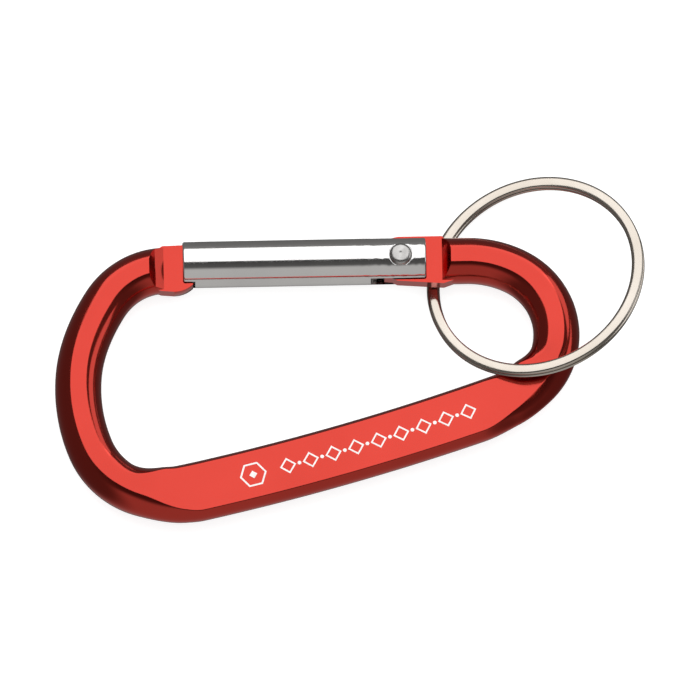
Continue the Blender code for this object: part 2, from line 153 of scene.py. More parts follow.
def room_background():
    """Brightness by direction: a ramp over the angle in YZ, fading to one grey at the left and right."""
    world = bpy.data.worlds.new("studio_room")
    world.use_nodes = True
    nodes, links = world.node_tree.nodes, world.node_tree.links
    coordinates = nodes.new("ShaderNodeTexCoord")
    split = nodes.new("ShaderNodeSeparateXYZ")
    links.new(coordinates.outputs["Generated"], split.inputs[0])
    angle = nodes.new("ShaderNodeMath")
    angle.operation = "ARCTAN2"
    links.new(split.outputs["Y"], angle.inputs[0])
    links.new(split.outputs["Z"], angle.inputs[1])
    place = nodes.new("ShaderNodeMapRange")
    place.inputs["From Min"].default_value = -math.pi
    place.inputs["From Max"].default_value = math.pi
    links.new(angle.outputs[0], place.inputs["Value"])
    ramp = nodes.new("ShaderNodeValToRGB")
    links.new(place.outputs["Result"], ramp.inputs["Fac"])
    element = ramp.color_ramp.elements
    for index, (degrees, grey) in enumerate(ROOM_STOPS):
        position = (degrees + 180) / 360
        item = element[index] if index < 2 else element.new(position)
        item.position = position
        item.color = (grey, grey * 0.985, grey * 0.96, 1)
    aside = nodes.new("ShaderNodeMath")
    aside.operation = "ABSOLUTE"
    links.new(split.outputs["X"], aside.inputs[0])
    dim = nodes.new("ShaderNodeMapRange")
    dim.interpolation_type = "SMOOTHSTEP"
    dim.inputs["From Min"].default_value = DIM_START
    dim.inputs["From Max"].default_value = DIM_FULL
    links.new(aside.outputs[0], dim.inputs["Value"])
    mix = nodes.new("ShaderNodeMix")
    mix.data_type = "RGBA"
    links.new(dim.outputs["Result"], mix.inputs["Factor"])
    links.new(ramp.outputs["Color"], colour_socket(mix.inputs, "A"))
    colour_socket(mix.inputs, "B").default_value = NEUTRAL_SIDE
    links.new(colour_socket(mix.outputs, "Result"), nodes["Background"].inputs["Color"])
    return world


bpy.context.scene.world = room_background()

floor_mesh = bpy.data.meshes.new("floor")
floor_mesh.from_pydata([(-3, -3, 0), (3, -3, 0), (3, 3, 0), (-3, 3, 0)], [], [(0, 1, 2, 3)])
floor = bpy.data.objects.new("floor", floor_mesh)
bpy.context.scene.collection.objects.link(floor)
floor.location.z = -FLOOR_DROP
floor.visible_glossy = False
paper = bpy.data.materials.new("white_paper")
paper.use_nodes = True
paper_shader = paper.node_tree.nodes["Principled BSDF"]
paper_shader.inputs["Base Color"].default_value = (PAPER_GREY, PAPER_GREY, PAPER_GREY, 1)
paper_shader.inputs["Roughness"].default_value = 0.9
paper_shader.inputs["Emission Color"].default_value = (1, 1, 1, 1)
paper_shader.inputs["Emission Strength"].default_value = PAPER_GLOW
floor_mesh.materials.append(paper)


# %% [markdown]
# ## The finishes
# The bar is aluminium dyed red in its anodised skin: the metal's own mirror, tinted, under a thin
# clear layer. The other pieces are bare aluminium, steel and nickel plate. No polished part is
# perfect, so each finish has faint lines from its polishing wheel or lathe, slow changes in how
# sharp its mirror is, and a little wear.

# %% Finish helpers
NOISE_LOW, NOISE_HIGH = 0.3, 0.7


def new_finish(name, colour, metallic=1.0, roughness=0.15, coat=0.0):
    """A material with these values on its Principled shader."""
    material = bpy.data.materials.new(name)
    material.use_nodes = True
    shader = material.node_tree.nodes["Principled BSDF"]
    shader.inputs["Base Color"].default_value = (*colour, 1)
    shader.inputs["Metallic"].default_value = metallic
    shader.inputs["Roughness"].default_value = roughness
    shader.inputs["Coat Weight"].default_value = coat
    return material


def noise_on(material, scale, stretch=(1, 1, 1), detail=3.0):
    """Noise over the object, finer along an axis with a larger stretch. Gives the node."""
    nodes, links = material.node_tree.nodes, material.node_tree.links
    coordinates = nodes.new("ShaderNodeTexCoord")
    mapping = nodes.new("ShaderNodeMapping")
    mapping.inputs["Scale"].default_value = stretch
    noise = nodes.new("ShaderNodeTexNoise")
    noise.inputs["Scale"].default_value = scale
    noise.inputs["Detail"].default_value = detail
    links.new(coordinates.outputs["Object"], mapping.inputs["Vector"])
    links.new(mapping.outputs["Vector"], noise.inputs["Vector"])
    return noise


def vary(material, socket, noise, low, high):
    """The noise, spread between two values, drives one of the shader's sockets."""
    nodes, links = material.node_tree.nodes, material.node_tree.links
    spread = nodes.new("ShaderNodeMapRange")
    spread.inputs["From Min"].default_value = NOISE_LOW
    spread.inputs["From Max"].default_value = NOISE_HIGH
    spread.inputs["To Min"].default_value = low
    spread.inputs["To Max"].default_value = high
    links.new(noise.outputs["Fac"], spread.inputs["Value"])
    links.new(spread.outputs["Result"], nodes["Principled BSDF"].inputs[socket])


def tint(material, noise, dark, light):
    """The noise blends the base colour between two tints."""
    nodes, links = material.node_tree.nodes, material.node_tree.links
    ramp = nodes.new("ShaderNodeValToRGB")
    ramp.color_ramp.elements[0].position = NOISE_LOW
    ramp.color_ramp.elements[0].color = (*dark, 1)
    ramp.color_ramp.elements[1].position = NOISE_HIGH
    ramp.color_ramp.elements[1].color = (*light, 1)
    links.new(noise.outputs["Fac"], ramp.inputs["Fac"])
    links.new(ramp.outputs["Color"], nodes["Principled BSDF"].inputs["Base Color"])


def scratch(material, noise, height):
    """The noise raises the surface by up to this height."""
    nodes, links = material.node_tree.nodes, material.node_tree.links
    bump = nodes.new("ShaderNodeBump")
    bump.inputs["Strength"].default_value = 1.0
    bump.inputs["Distance"].default_value = height
    links.new(noise.outputs["Fac"], bump.inputs["Height"])
    links.new(bump.outputs["Normal"], nodes["Principled BSDF"].inputs["Normal"])


def dent(material, noise, height, start, end):
    """Adds broader dents under the scratches, which grow along X between two positions."""
    nodes, links = material.node_tree.nodes, material.node_tree.links
    coordinates = nodes.new("ShaderNodeTexCoord")
    split = nodes.new("ShaderNodeSeparateXYZ")
    links.new(coordinates.outputs["Object"], split.inputs[0])
    grow = nodes.new("ShaderNodeMapRange")
    grow.inputs["From Min"].default_value = start
    grow.inputs["From Max"].default_value = end
    links.new(split.outputs["X"], grow.inputs["Value"])
    depth = nodes.new("ShaderNodeMath")
    depth.operation = "MULTIPLY"
    links.new(noise.outputs["Fac"], depth.inputs[0])
    links.new(grow.outputs["Result"], depth.inputs[1])
    bump = nodes.new("ShaderNodeBump")
    bump.inputs["Strength"].default_value = 1.0
    bump.inputs["Distance"].default_value = height
    links.new(depth.outputs[0], bump.inputs["Height"])
    fine = next(node for node in nodes if node.type == "BUMP" and node != bump)
    links.new(bump.outputs["Normal"], fine.inputs["Normal"])


# %% The finishes themselves
red = new_finish("red_anodised", (0.62, 0.035, 0.018), roughness=0.13, coat=0.5)
red.node_tree.nodes["Principled BSDF"].inputs["Coat Roughness"].default_value = 0.06
tint(red, noise_on(red, 90, detail=2), (0.575, 0.037, 0.022), (0.615, 0.042, 0.026))
vary(red, "Roughness", noise_on(red, 260, detail=4), 0.10, 0.17)
scratch(red, noise_on(red, 700, (1, 6, 1)), 0.6e-6)

bright_aluminium = new_finish("polished_aluminium", (0.90, 0.89, 0.885), roughness=0.1)
tint(bright_aluminium, noise_on(bright_aluminium, 150), (0.87, 0.86, 0.86), (0.92, 0.91, 0.905))
vary(bright_aluminium, "Roughness", noise_on(bright_aluminium, 300, (4, 1, 1)), 0.08, 0.14)
scratch(bright_aluminium, noise_on(bright_aluminium, 900, (12, 0.4, 0.4), 2), 0.5e-6)
DENTS_START, DENTS_FULL = GATE_MIDDLE.x + 5.5 * MM, GATE_MIDDLE.x + 9.5 * MM
DENTS_HEIGHT = 60e-6
dents = noise_on(bright_aluminium, 1100, (1, 0.5, 0.5), 1)
dent(bright_aluminium, dents, DENTS_HEIGHT, DENTS_START, DENTS_FULL)

rivet_steel = new_finish("rivet_steel", (0.54, 0.53, 0.51), roughness=0.2)
tint(rivet_steel, noise_on(rivet_steel, 900), (0.44, 0.43, 0.42), (0.58, 0.57, 0.56))
vary(rivet_steel, "Roughness", noise_on(rivet_steel, 1500), 0.18, 0.32)
scratch(rivet_steel, noise_on(rivet_steel, 3000), 0.8e-6)

spring_steel = new_finish("spring_steel", (0.5, 0.49, 0.48), roughness=0.25)
tint(spring_steel, noise_on(spring_steel, 1200), (0.42, 0.41, 0.4), (0.54, 0.53, 0.52))
vary(spring_steel, "Roughness", noise_on(spring_steel, 2500), 0.2, 0.35)
scratch(spring_steel, noise_on(spring_steel, 6000), 0.8e-6)

nickel = new_finish("nickel_plate", (0.66, 0.60, 0.535), roughness=0.14)
tint(nickel, noise_on(nickel, 120), (0.62, 0.56, 0.49), (0.70, 0.64, 0.575))
vary(nickel, "Roughness", noise_on(nickel, 500), 0.11, 0.2)
scratch(nickel, noise_on(nickel, 1800), 0.5e-6)

print_ink = new_finish("white_print", (0.86, 0.84, 0.82), metallic=0.0, roughness=0.45)
tint(print_ink, noise_on(print_ink, 1500), (0.82, 0.79, 0.77), (0.9, 0.88, 0.87))
vary(print_ink, "Roughness", noise_on(print_ink, 2500), 0.38, 0.55)
scratch(print_ink, noise_on(print_ink, 5000), 1.5e-6)
finishes = (red, bright_aluminium, rivet_steel, spring_steel, nickel, print_ink)
print("finishes:", [finish.name for finish in finishes])


# %% [markdown]
# ## Tools for shaping
# A few helpers do what a workshop does: cut with another solid, add one, and ease an edge. Each
# finished piece is moved from the gate's frame into the model's by its points, so its object stays
# at the origin.

# %% Shaping helpers
def arc(centre, radius, start, end, steps):
    """Points on an arc, with both angles in degrees."""
    angles = [math.radians(start + (end - start) * i / steps) for i in range(steps + 1)]
    return [(centre[0] + radius * math.cos(a), centre[1] + radius * math.sin(a)) for a in angles]


def ease(value):
    value = min(max(value, 0.0), 1.0)
    return value * value * (3 - 2 * value)


def solid(name, bm):
    """An object from a bmesh, with its faces turned outwards."""
    bmesh.ops.recalc_face_normals(bm, faces=bm.faces)
    mesh = bpy.data.meshes.new(name)
    bm.to_mesh(mesh)
    bm.free()
    obj = bpy.data.objects.new(name, mesh)
    bpy.context.scene.collection.objects.link(obj)
    return obj


def prism(outline, low, high):
    """A flat plate with an XY outline between two heights."""
    bm = bmesh.new()
    face = bm.faces.new([bm.verts.new((x, y, low)) for x, y in outline])
    grown = bmesh.ops.extrude_face_region(bm, geom=[face])
    top = [item for item in grown["geom"] if isinstance(item, bmesh.types.BMVert)]
    bmesh.ops.translate(bm, verts=top, vec=(0, 0, high - low))
    return solid("prism", bm)


def block(low, high):
    bm = bmesh.new()
    bmesh.ops.create_cube(bm, size=1)
    size = Vector(high) - Vector(low)
    bmesh.ops.scale(bm, vec=size, verts=bm.verts)
    bmesh.ops.translate(bm, vec=Vector(low) + size / 2, verts=bm.verts)
    return solid("block", bm)


def rod(radius, low, high, axis, centre, sides):
    """A cylinder along X or Z, between two positions on that axis."""
    bm = bmesh.new()
    bmesh.ops.create_cone(
        bm, cap_ends=True, segments=sides, radius1=radius, radius2=radius, depth=high - low
    )
    bmesh.ops.translate(bm, vec=(0, 0, (low + high) / 2), verts=bm.verts)
    if axis == "X":
        bmesh.ops.rotate(bm, cent=(0, 0, 0), matrix=Matrix.Rotation(math.pi / 2, 3, "Y"), verts=bm.verts)
    bmesh.ops.translate(bm, vec=centre, verts=bm.verts)
    return solid("rod", bm)


def turned(outline, steps, axis):
    """An outline of (radius, height) points, from end to end on the axis, turned once."""
    bm = bmesh.new()
    rings = []
    for radius, height in outline:
        if radius < 1e-9:
            rings.append([bm.verts.new((0, 0, height))])
            continue
        angles = [2 * math.pi * i / steps for i in range(steps)]
        rings.append([bm.verts.new((radius * math.cos(a), radius * math.sin(a), height)) for a in angles])
    for near, far in zip(rings, rings[1:]):
        for i in range(steps):
            j = (i + 1) % steps
            corners = [near[i % len(near)], near[j % len(near)], far[j % len(far)], far[i % len(far)]]
            bm.faces.new(list(dict.fromkeys(corners)))
    if axis == "X":
        bmesh.ops.rotate(bm, cent=(0, 0, 0), matrix=Matrix.Rotation(math.pi / 2, 3, "Y"), verts=bm.verts)
    return solid("turned", bm)


def applied(obj):
    """Bakes the object's modifiers into its mesh."""
    graph = bpy.context.evaluated_depsgraph_get()
    mesh = bpy.data.meshes.new_from_object(obj.evaluated_get(graph))
    obj.modifiers.clear()
    obj.data = mesh
    return obj


def combine(obj, other, operation):
    """Cuts another solid away or adds it, and removes the other."""
    modifier = obj.modifiers.new("combine", "BOOLEAN")
    modifier.operation = operation
    modifier.solver = "EXACT"
    modifier.object = other
    applied(obj)
    bpy.data.objects.remove(other, do_unlink=True)
    return obj


def ease_edges(obj, width, angle):
    """Breaks every edge that is sharper than the angle."""
    bevel = obj.modifiers.new("eased edges", "BEVEL")
    bevel.width = width
    bevel.segments = 2
    bevel.limit_method = "ANGLE"
    bevel.angle_limit = math.radians(angle)
    bevel.use_clamp_overlap = True
    bevel.miter_outer = "MITER_ARC"
    return applied(obj)


def place(obj, material, name, smooth=30):
    """Moves a piece drawn about the gate's middle into the model, shades it and gives it its finish."""
    obj.name = name
    obj.data.transform(Matrix.Translation(GATE_MIDDLE))
    obj.data.shade_smooth()
    obj.data.set_sharp_from_angle(angle=math.radians(smooth))
    weighted = obj.modifiers.new("normals by face area", "WEIGHTED_NORMAL")
    weighted.keep_sharp = True
    weighted.weight = 90
    applied(obj)
    obj.data.name = name
    obj.data.materials.clear()
    obj.data.materials.append(material)
    print(name, len(obj.data.polygons), "faces")
    return obj


# %% [markdown]
# ## The body
# The body starts as a straight aluminium rod with a narrow flat rolled along its top and underside.
# It is bent round two ends, pressed flat and wide along its spine, and its tips are pressed to thin
# plates that fit the gate's slots. A loft follows that: one section is drawn again and again along
# a centre line of straight and curved legs, and its widths swell where the press has been. The
# corner between flat and side is rounded by a tenth of a millimetre, because dyed metal shows every
# crease as a line of light.

# %% The bar's sizes
BAR = {"half_width": 3.1 * MM, "half_flat": 0.96 * MM, "half_height": 2.95 * MM}
SPINE = {"half_width": 4.1 * MM, "half_flat": 3.25 * MM, "half_height": 1.75 * MM}
INNER_PRESS, INNER_RELEASE = (23.5 * MM, 5.5 * MM), (80.5 * MM, 7.5 * MM)
OUTER_PRESS, OUTER_RELEASE = (29.0 * MM, 9.0 * MM), (76.5 * MM, 7.5 * MM)
THINNING, THICKENING = (19.5 * MM, 11.0 * MM), (76.0 * MM, 12.0 * MM)
HINGE_SHOULDER = Vector((18.4, -0.15)) * MM
NOSE_SHOULDER = Vector((-18.6, -0.75)) * MM
BENDS_TO_SPINE = [(13.92 * MM, 27.5), (10.08 * MM, 132.9)]
SPINE_TURN = 7.7
BENDS_TO_NOSE = [(10.75 * MM, 80.9), (22.73 * MM, 54), (9.93 * MM, 57)]
SLACK_SPAN = (1.0 * MM, 21.0 * MM)
SLACK_DEPTH = 0.2 * MM
STATION_GAP = 0.4 * MM
SIDE_STEPS = 22
CORNER_ROUND = 0.11 * MM
CORNER_STEPS = 3


# %% The bar's centre line
def bend_offset(turn_degrees, heading):
    """Where a right-hand bend of radius 1 ends, from its start."""
    swept, angle = math.radians(turn_degrees), math.radians(heading)
    along = Vector((math.cos(angle), math.sin(angle)))
    right = Vector((math.sin(angle), -math.cos(angle)))
    return math.sin(swept) * along + (1 - math.cos(swept)) * right


def bar_legs():
    """Every leg of the centre line as (length, turn), from the hinge to the nose. Two sizes are solved."""
    heading, known = 0, Vector((0, 0))
    for radius, degrees in BENDS_TO_SPINE:
        known += radius * bend_offset(degrees, heading)
        heading -= degrees
    spine = bend_offset(SPINE_TURN, heading)
    heading -= SPINE_TURN
    for radius, degrees in BENDS_TO_NOSE:
        known += radius * bend_offset(degrees, heading)
        heading -= degrees
    missing = NOSE_SHOULDER - HINGE_SHOULDER - known
    spine_radius = missing.y / spine.y
    straight = missing.x - spine_radius * spine.x
    bends = BENDS_TO_SPINE + [(spine_radius, SPINE_TURN)] + BENDS_TO_NOSE
    return [(straight, 0)] + [(radius * math.radians(degrees), degrees) for radius, degrees in bends]


def slack(to_go, heading):
    """The last corner isn't a true arc: the bender left it a little flatter, towards the inside.
    Where that is depends on how much of the bar is still to go."""
    share = (SLACK_SPAN[1] - to_go) / (SLACK_SPAN[1] - SLACK_SPAN[0])
    depth = SLACK_DEPTH * math.sin(math.pi * share) ** 2 if 0 < share < 1 else 0
    return depth * Vector((math.sin(heading), -math.cos(heading)))


def bar_stations():
    """Points along the centre line as (position, heading, distance walked)."""
    position, heading, walked = HINGE_SHOULDER.copy(), 0.0, 0.0
    stations = [(position.copy(), heading, walked)]
    for length, degrees in bar_legs():
        steps = max(2, round(length / STATION_GAP))
        for _ in range(steps):
            half = math.radians(degrees) / steps / 2
            chord = length / steps * (math.sin(half) / half if half else 1)
            heading -= half
            position += chord * Vector((math.cos(heading), math.sin(heading)))
            heading -= half
            walked += length / steps
            stations.append((position.copy(), heading, walked))
    return [(spot + slack(walked - along, facing), facing, along) for spot, facing, along in stations]


print("bar length, mm:", round(bar_stations()[-1][2] / MM, 1))


# %% The bar's section
def pressed(walked, press, release):
    return ease((walked - press[0]) / press[1]) - ease((walked - release[0]) / release[1])


def between(key, share):
    return BAR[key] + (SPINE[key] - BAR[key]) * share


def side_points(share, half_height):
    """One side of the section, from the top flat's edge to the underside's, as (sideways, up)."""
    half_width, half_flat = between("half_width", share), between("half_flat", share)
    edge = math.acos(half_flat / half_width)
    crown = half_height / math.sin(edge)
    inset = edge - CORNER_ROUND / half_width
    below = (half_width * math.cos(inset), crown * math.sin(inset))
    corner = []
    for i in range(CORNER_STEPS + 1):
        t = i / CORNER_STEPS
        weights = ((1 - t) ** 2, 2 * t * (1 - t), t * t)
        guides = ((half_flat - CORNER_ROUND, half_height), (half_flat, half_height), below)
        corner.append(tuple(sum(w * g[axis] for w, g in zip(weights, guides)) for axis in (0, 1)))
    support = [(half_flat - 2 * CORNER_ROUND, half_height)]
    angles = [inset * (1 - 2 * i / SIDE_STEPS) for i in range(1, SIDE_STEPS)]
    side = [(half_width * math.cos(a), crown * math.sin(a)) for a in angles]
    return support + corner + side + [(x, -z) for x, z in reversed(support + corner)]


def bar_section(walked):
    half_height = between("half_height", pressed(walked, THINNING, THICKENING))
    outer = side_points(pressed(walked, OUTER_PRESS, OUTER_RELEASE), half_height)
    inner = side_points(pressed(walked, INNER_PRESS, INNER_RELEASE), half_height)
    return outer + [(-x, z) for x, z in reversed(inner)]


def loft_bar():
    bm = bmesh.new()
    loops = []
    for position, heading, walked in bar_stations():
        left = Vector((-math.sin(heading), math.cos(heading)))
        points = [(position + left * sideways, up) for sideways, up in bar_section(walked)]
        loops.append([bm.verts.new((spot.x, spot.y, up)) for spot, up in points])
    for near, far in zip(loops, loops[1:]):
        for i in range(len(near)):
            j = (i + 1) % len(near)
            bm.faces.new((near[i], near[j], far[j], far[i]))
    bm.faces.new(loops[0])
    bm.faces.new(loops[-1])
    return solid("body", bm)


# %% The pressed tips
PLATE_HALF_HEIGHT = 1.0 * MM
GAP = 0.3 * MM
HOLE_REACH = 3 * MM
TONGUE_HOLE_RADIUS = 1.1 * MM
HINGE_SLOPE = (0.6 * MM, 0.975 * MM)
NOSE_SLOPE = (1.15 * MM, 0.66 * MM)
STEEP_RUN = 0.615
NOSE_FLAT_EXTRA = 0.25 * MM
RING_NOTCH_EXTRA = 0.6 * MM
TONGUE_OFFSET = -0.22 * MM
TONGUE_RADIUS = 3.33 * MM
NOSE_TIP = -14.95 * MM
NOSE_TOP = 2.5 * MM
NOSE_BOTTOM = -4.07 * MM
NOSE_ARC_RADIUS = 3.7 * MM
NOSE_ARC_BACK = 2.55 * MM
NOSE_CORNER = 0.6 * MM
ROOT_DEPTH = 2.6 * MM
CUTTER_HALF_WIDTH = 6 * MM
RIVET_X = 12.87 * MM
CAM_START_RADIUS, CAM_END_RADIUS = 2.35 * MM, 3.45 * MM
CAM_START, CAM_END = -6, 50
CAM_STEPS = 36
SLOT_ROOT_HINGE = 8.82 * MM
LUG_TIP = SLOT_ROOT_HINGE + GAP
LUG_LOW, LUG_HIGH = 1.15 * MM, 2.6 * MM
LUG_CORNER = 0.4 * MM


def tongue_outline():
    """A heel, a spiral cam for the plunger, a lug that stops the closed gate, and a round back."""
    centre = (RIVET_X, TONGUE_OFFSET)
    heel = [(RIVET_X - 0.5 * MM, -3.08 * MM), (RIVET_X - 1.2 * MM, -2.7 * MM)]
    cam = []
    for i in range(CAM_STEPS + 1):
        angle = math.radians(CAM_END + (CAM_START - CAM_END) * i / CAM_STEPS)
        radius = CAM_END_RADIUS + (CAM_START_RADIUS - CAM_END_RADIUS) * i / CAM_STEPS
        cam.append((RIVET_X - radius * math.cos(angle), -radius * math.sin(angle)))
    lug = [(RIVET_X - CAM_START_RADIUS, LUG_LOW), (LUG_TIP, LUG_LOW)]
    lug += [(LUG_TIP, LUG_HIGH - LUG_CORNER), (LUG_TIP + LUG_CORNER, LUG_HIGH)]
    lug_angle = 180 - math.degrees(math.asin((LUG_HIGH - TONGUE_OFFSET) / TONGUE_RADIUS))
    upper = arc(centre, TONGUE_RADIUS, lug_angle, 90, 20)
    bottom, top = TONGUE_OFFSET - TONGUE_RADIUS, TONGUE_OFFSET + TONGUE_RADIUS
    near, deep = HINGE_SHOULDER.x, HINGE_SHOULDER.x + ROOT_DEPTH
    root = [(near, top), (near + 0.5 * MM, 2.6 * MM), (deep, 2.3 * MM)]
    root += [(deep, -2.7 * MM), (near + 0.2 * MM, bottom)]
    return heel + cam + lug + upper + root


def nose_outline():
    """A rounded hook that the gate's slot closes on."""
    centre = (NOSE_TIP - NOSE_ARC_BACK, NOSE_BOTTOM + NOSE_ARC_RADIUS)
    tip_angle = -math.degrees(math.acos(NOSE_ARC_BACK / NOSE_ARC_RADIUS))
    lower = arc(centre, NOSE_ARC_RADIUS, -90, tip_angle, 24)
    corner = arc((NOSE_TIP - NOSE_CORNER, NOSE_TOP - NOSE_CORNER), NOSE_CORNER, 0, 90, 10)
    x = NOSE_SHOULDER.x
    root = [(x - 0.4 * MM, NOSE_TOP - 0.1 * MM), (x - ROOT_DEPTH, 0.9 * MM)]
    root += [(x - ROOT_DEPTH, -3.2 * MM), (x - 0.6 * MM, NOSE_BOTTOM + 0.15 * MM)]
    return lower + corner + root


def shoulder_cutter(shoulder, slope, direction, side):
    """Clears one side of the bar beyond a shoulder. From the plate it climbs the slope, given as
    (run, rise), and then a steep face. Direction points at the gate."""
    run, rise = slope
    under = 0.4 * MM
    depth = PLATE_HALF_HEIGHT - under
    bend_height = PLATE_HALF_HEIGHT + rise
    high = BAR["half_height"] + 1.0 * MM
    low_x = shoulder + direction * under * run / rise
    bend_x = shoulder - direction * run
    high_x = bend_x - direction * STEEP_RUN * (high - bend_height)
    far_x = shoulder + direction * 3 * MM
    profile = [(low_x, depth), (bend_x, bend_height), (high_x, high), (far_x, high), (far_x, depth)]
    bm = bmesh.new()
    face = bm.faces.new([bm.verts.new((x, -CUTTER_HALF_WIDTH, side * z)) for x, z in profile])
    grown = bmesh.ops.extrude_face_region(bm, geom=[face])
    moved = [item for item in grown["geom"] if isinstance(item, bmesh.types.BMVert)]
    bmesh.ops.translate(bm, verts=moved, vec=(0, 2 * CUTTER_HALF_WIDTH, 0))
    return solid("shoulder_cutter", bm)


# %% Make the body
body = loft_bar()
nose_shoulder = NOSE_SHOULDER.x - NOSE_FLAT_EXTRA
combine(body, shoulder_cutter(HINGE_SHOULDER.x, HINGE_SLOPE, -1, 1), "DIFFERENCE")
combine(body, shoulder_cutter(HINGE_SHOULDER.x + RING_NOTCH_EXTRA, HINGE_SLOPE, -1, -1), "DIFFERENCE")
combine(body, shoulder_cutter(nose_shoulder, NOSE_SLOPE, 1, 1), "DIFFERENCE")
combine(body, shoulder_cutter(nose_shoulder, NOSE_SLOPE, 1, -1), "DIFFERENCE")
combine(body, prism(tongue_outline(), -PLATE_HALF_HEIGHT, PLATE_HALF_HEIGHT), "UNION")
combine(body, prism(nose_outline(), -PLATE_HALF_HEIGHT, PLATE_HALF_HEIGHT), "UNION")
rivet_hole = rod(TONGUE_HOLE_RADIUS, -HOLE_REACH, HOLE_REACH, "Z", (RIVET_X, 0, 0), 64)
combine(body, rivet_hole, "DIFFERENCE")
ease_edges(body, 0.07 * MM, 38)
place(body, red, "bent_bar", 24)
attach(body, "frame")
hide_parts("frame")


# %% [markdown]
# ## The gate
# The gate is a rod turned on a lathe, slotted at both ends with a slitting saw, drilled through its
# ears for the rivet and bored along its middle for the spring. Cutting it from a rod in the same
# order gives the same edges.

# %% Make the gate
GATE_RADIUS = 3.1 * MM
GATE_HALF_LENGTH = 16.3 * MM
SLOT_HALF_HEIGHT = PLATE_HALF_HEIGHT + GAP
RIVET_SEAT = 2.75 * MM
BORE_RADIUS, BORE_END = 1.2 * MM, -3.3 * MM
ACROSS, BEYOND = 5 * MM, 20 * MM
EAR_HOLE_RADIUS, SEAT_RADIUS = 1.0 * MM, 1.62 * MM
EAR_STEP = 0.5 * MM
GATE_ROUNDING = 0.3 * MM
GATE_RINGS = 48


def gate_outline():
    """Half of the gate's lengthwise section as (radius, x), from one end to the other."""
    straight = GATE_HALF_LENGTH - GATE_ROUNDING
    corner = arc((GATE_RADIUS - GATE_ROUNDING, straight), GATE_ROUNDING, 90, 0, 6)
    side = [(GATE_RADIUS, straight * (1 - 2 * i / GATE_RINGS)) for i in range(1, GATE_RINGS)]
    far_corner = [(radius, -x) for radius, x in reversed(corner)]
    return [(0, GATE_HALF_LENGTH)] + corner + side + far_corner + [(0, -GATE_HALF_LENGTH)]


gate = turned(gate_outline(), 192, "X")
for slot_start, slot_end in ((SLOT_ROOT_HINGE, BEYOND), (-BEYOND, NOSE_TIP + GAP)):
    low_corner = (slot_start, -ACROSS, -SLOT_HALF_HEIGHT)
    high_corner = (slot_end, ACROSS, SLOT_HALF_HEIGHT)
    combine(gate, block(low_corner, high_corner), "DIFFERENCE")
combine(gate, rod(EAR_HOLE_RADIUS, -ACROSS, ACROSS, "Z", (RIVET_X, 0, 0), 64), "DIFFERENCE")
for low, high in ((RIVET_SEAT, ACROSS), (-ACROSS, -RIVET_SEAT)):
    combine(gate, rod(SEAT_RADIUS, low, high, "Z", (RIVET_X, 0, 0), 96), "DIFFERENCE")
bore = rod(BORE_RADIUS, BORE_END, SLOT_ROOT_HINGE + 1 * MM, "X", (0, 0, 0), 64)
combine(gate, bore, "DIFFERENCE")
ear_reach = GATE_HALF_LENGTH - RIVET_X
ear_waste = block((RIVET_X, -ACROSS, -ACROSS), (BEYOND, ACROSS, EAR_STEP - SLOT_HALF_HEIGHT))
combine(ear_waste, rod(ear_reach, -2 * ACROSS, 2 * ACROSS, "Z", (RIVET_X, 0, 0), 128), "DIFFERENCE")
combine(gate, ear_waste, "DIFFERENCE")
ease_edges(gate, 0.06 * MM, 38)
place(gate, bright_aluminium, "turned_gate", 30)
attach(gate, "gate")
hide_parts("gate")


# %% [markdown]
# ## The rivet and the plunger
# Both are small turned pins, so each is one outline turned about its axis. The rivet's heads were
# spun over a punch, which leaves a low dome and a small rim.

# %% Make the rivet and the plunger
RIVET_RADIUS, HEAD_RADIUS, RIVET_TOP = 0.95 * MM, 1.53 * MM, 3.45 * MM
HEAD_UNDER = RIVET_SEAT + 0.02 * MM
CROWN_RADIUS = 0.78 * MM
PUNCH_MARK = [(0, -0.07 * MM), (0.18 * MM, -0.055 * MM), (0.3 * MM, 0)]
HEAD_EASE = 0.05 * MM
SHOULDER_STEPS = 12


def rivet_outline():
    """The top head has a small dent from the punch, a crown that is nearly flat and a round shoulder."""
    drop = RIVET_TOP - HEAD_EASE - (HEAD_UNDER + HEAD_EASE)
    head = [(radius, RIVET_TOP - 0.01 * MM + depth) for radius, depth in PUNCH_MARK]
    head.append((0.5 * MM, RIVET_TOP - 0.015 * MM))
    for i in range(SHOULDER_STEPS + 1):
        angle = math.radians(90 - 90 * i / SHOULDER_STEPS)
        radius = CROWN_RADIUS + (HEAD_RADIUS - CROWN_RADIUS) * math.cos(angle)
        head.append((radius, RIVET_TOP - HEAD_EASE - drop * (1 - math.sin(angle))))
    neck = [(HEAD_RADIUS - HEAD_EASE, HEAD_UNDER), (RIVET_RADIUS, HEAD_UNDER)]
    half = head + neck
    return half + [(radius, -height) for radius, height in reversed(half)]


rivet = turned(rivet_outline(), 96, "Z")
rivet.data.transform(Matrix.Translation((RIVET_X, 0, 0)))
place(rivet, rivet_steel, "hinge_rivet", 35)
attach(rivet, "gate")
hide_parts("rivet")

plunger_low, plunger_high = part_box("plunger")
PLUNGER_RADIUS = 0.88 * MM
PLUNGER_CORNER = 0.15 * MM
PLUNGER_TAIL, PLUNGER_NOSE = (plunger_low.x - GATE_MIDDLE.x, plunger_high.x - GATE_MIDDLE.x)
tail = [
    (0, PLUNGER_TAIL),
    (PLUNGER_RADIUS - PLUNGER_CORNER, PLUNGER_TAIL),
    (PLUNGER_RADIUS, PLUNGER_TAIL + PLUNGER_CORNER),
]
nose = arc((0, PLUNGER_NOSE - PLUNGER_RADIUS), PLUNGER_RADIUS, 0, 90, 16)
plunger = turned(tail + nose[:-1] + [(0, PLUNGER_NOSE)], 64, "X")
place(plunger, rivet_steel, "plunger_pin", 35)
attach(plunger, "plunger")
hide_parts("plunger")


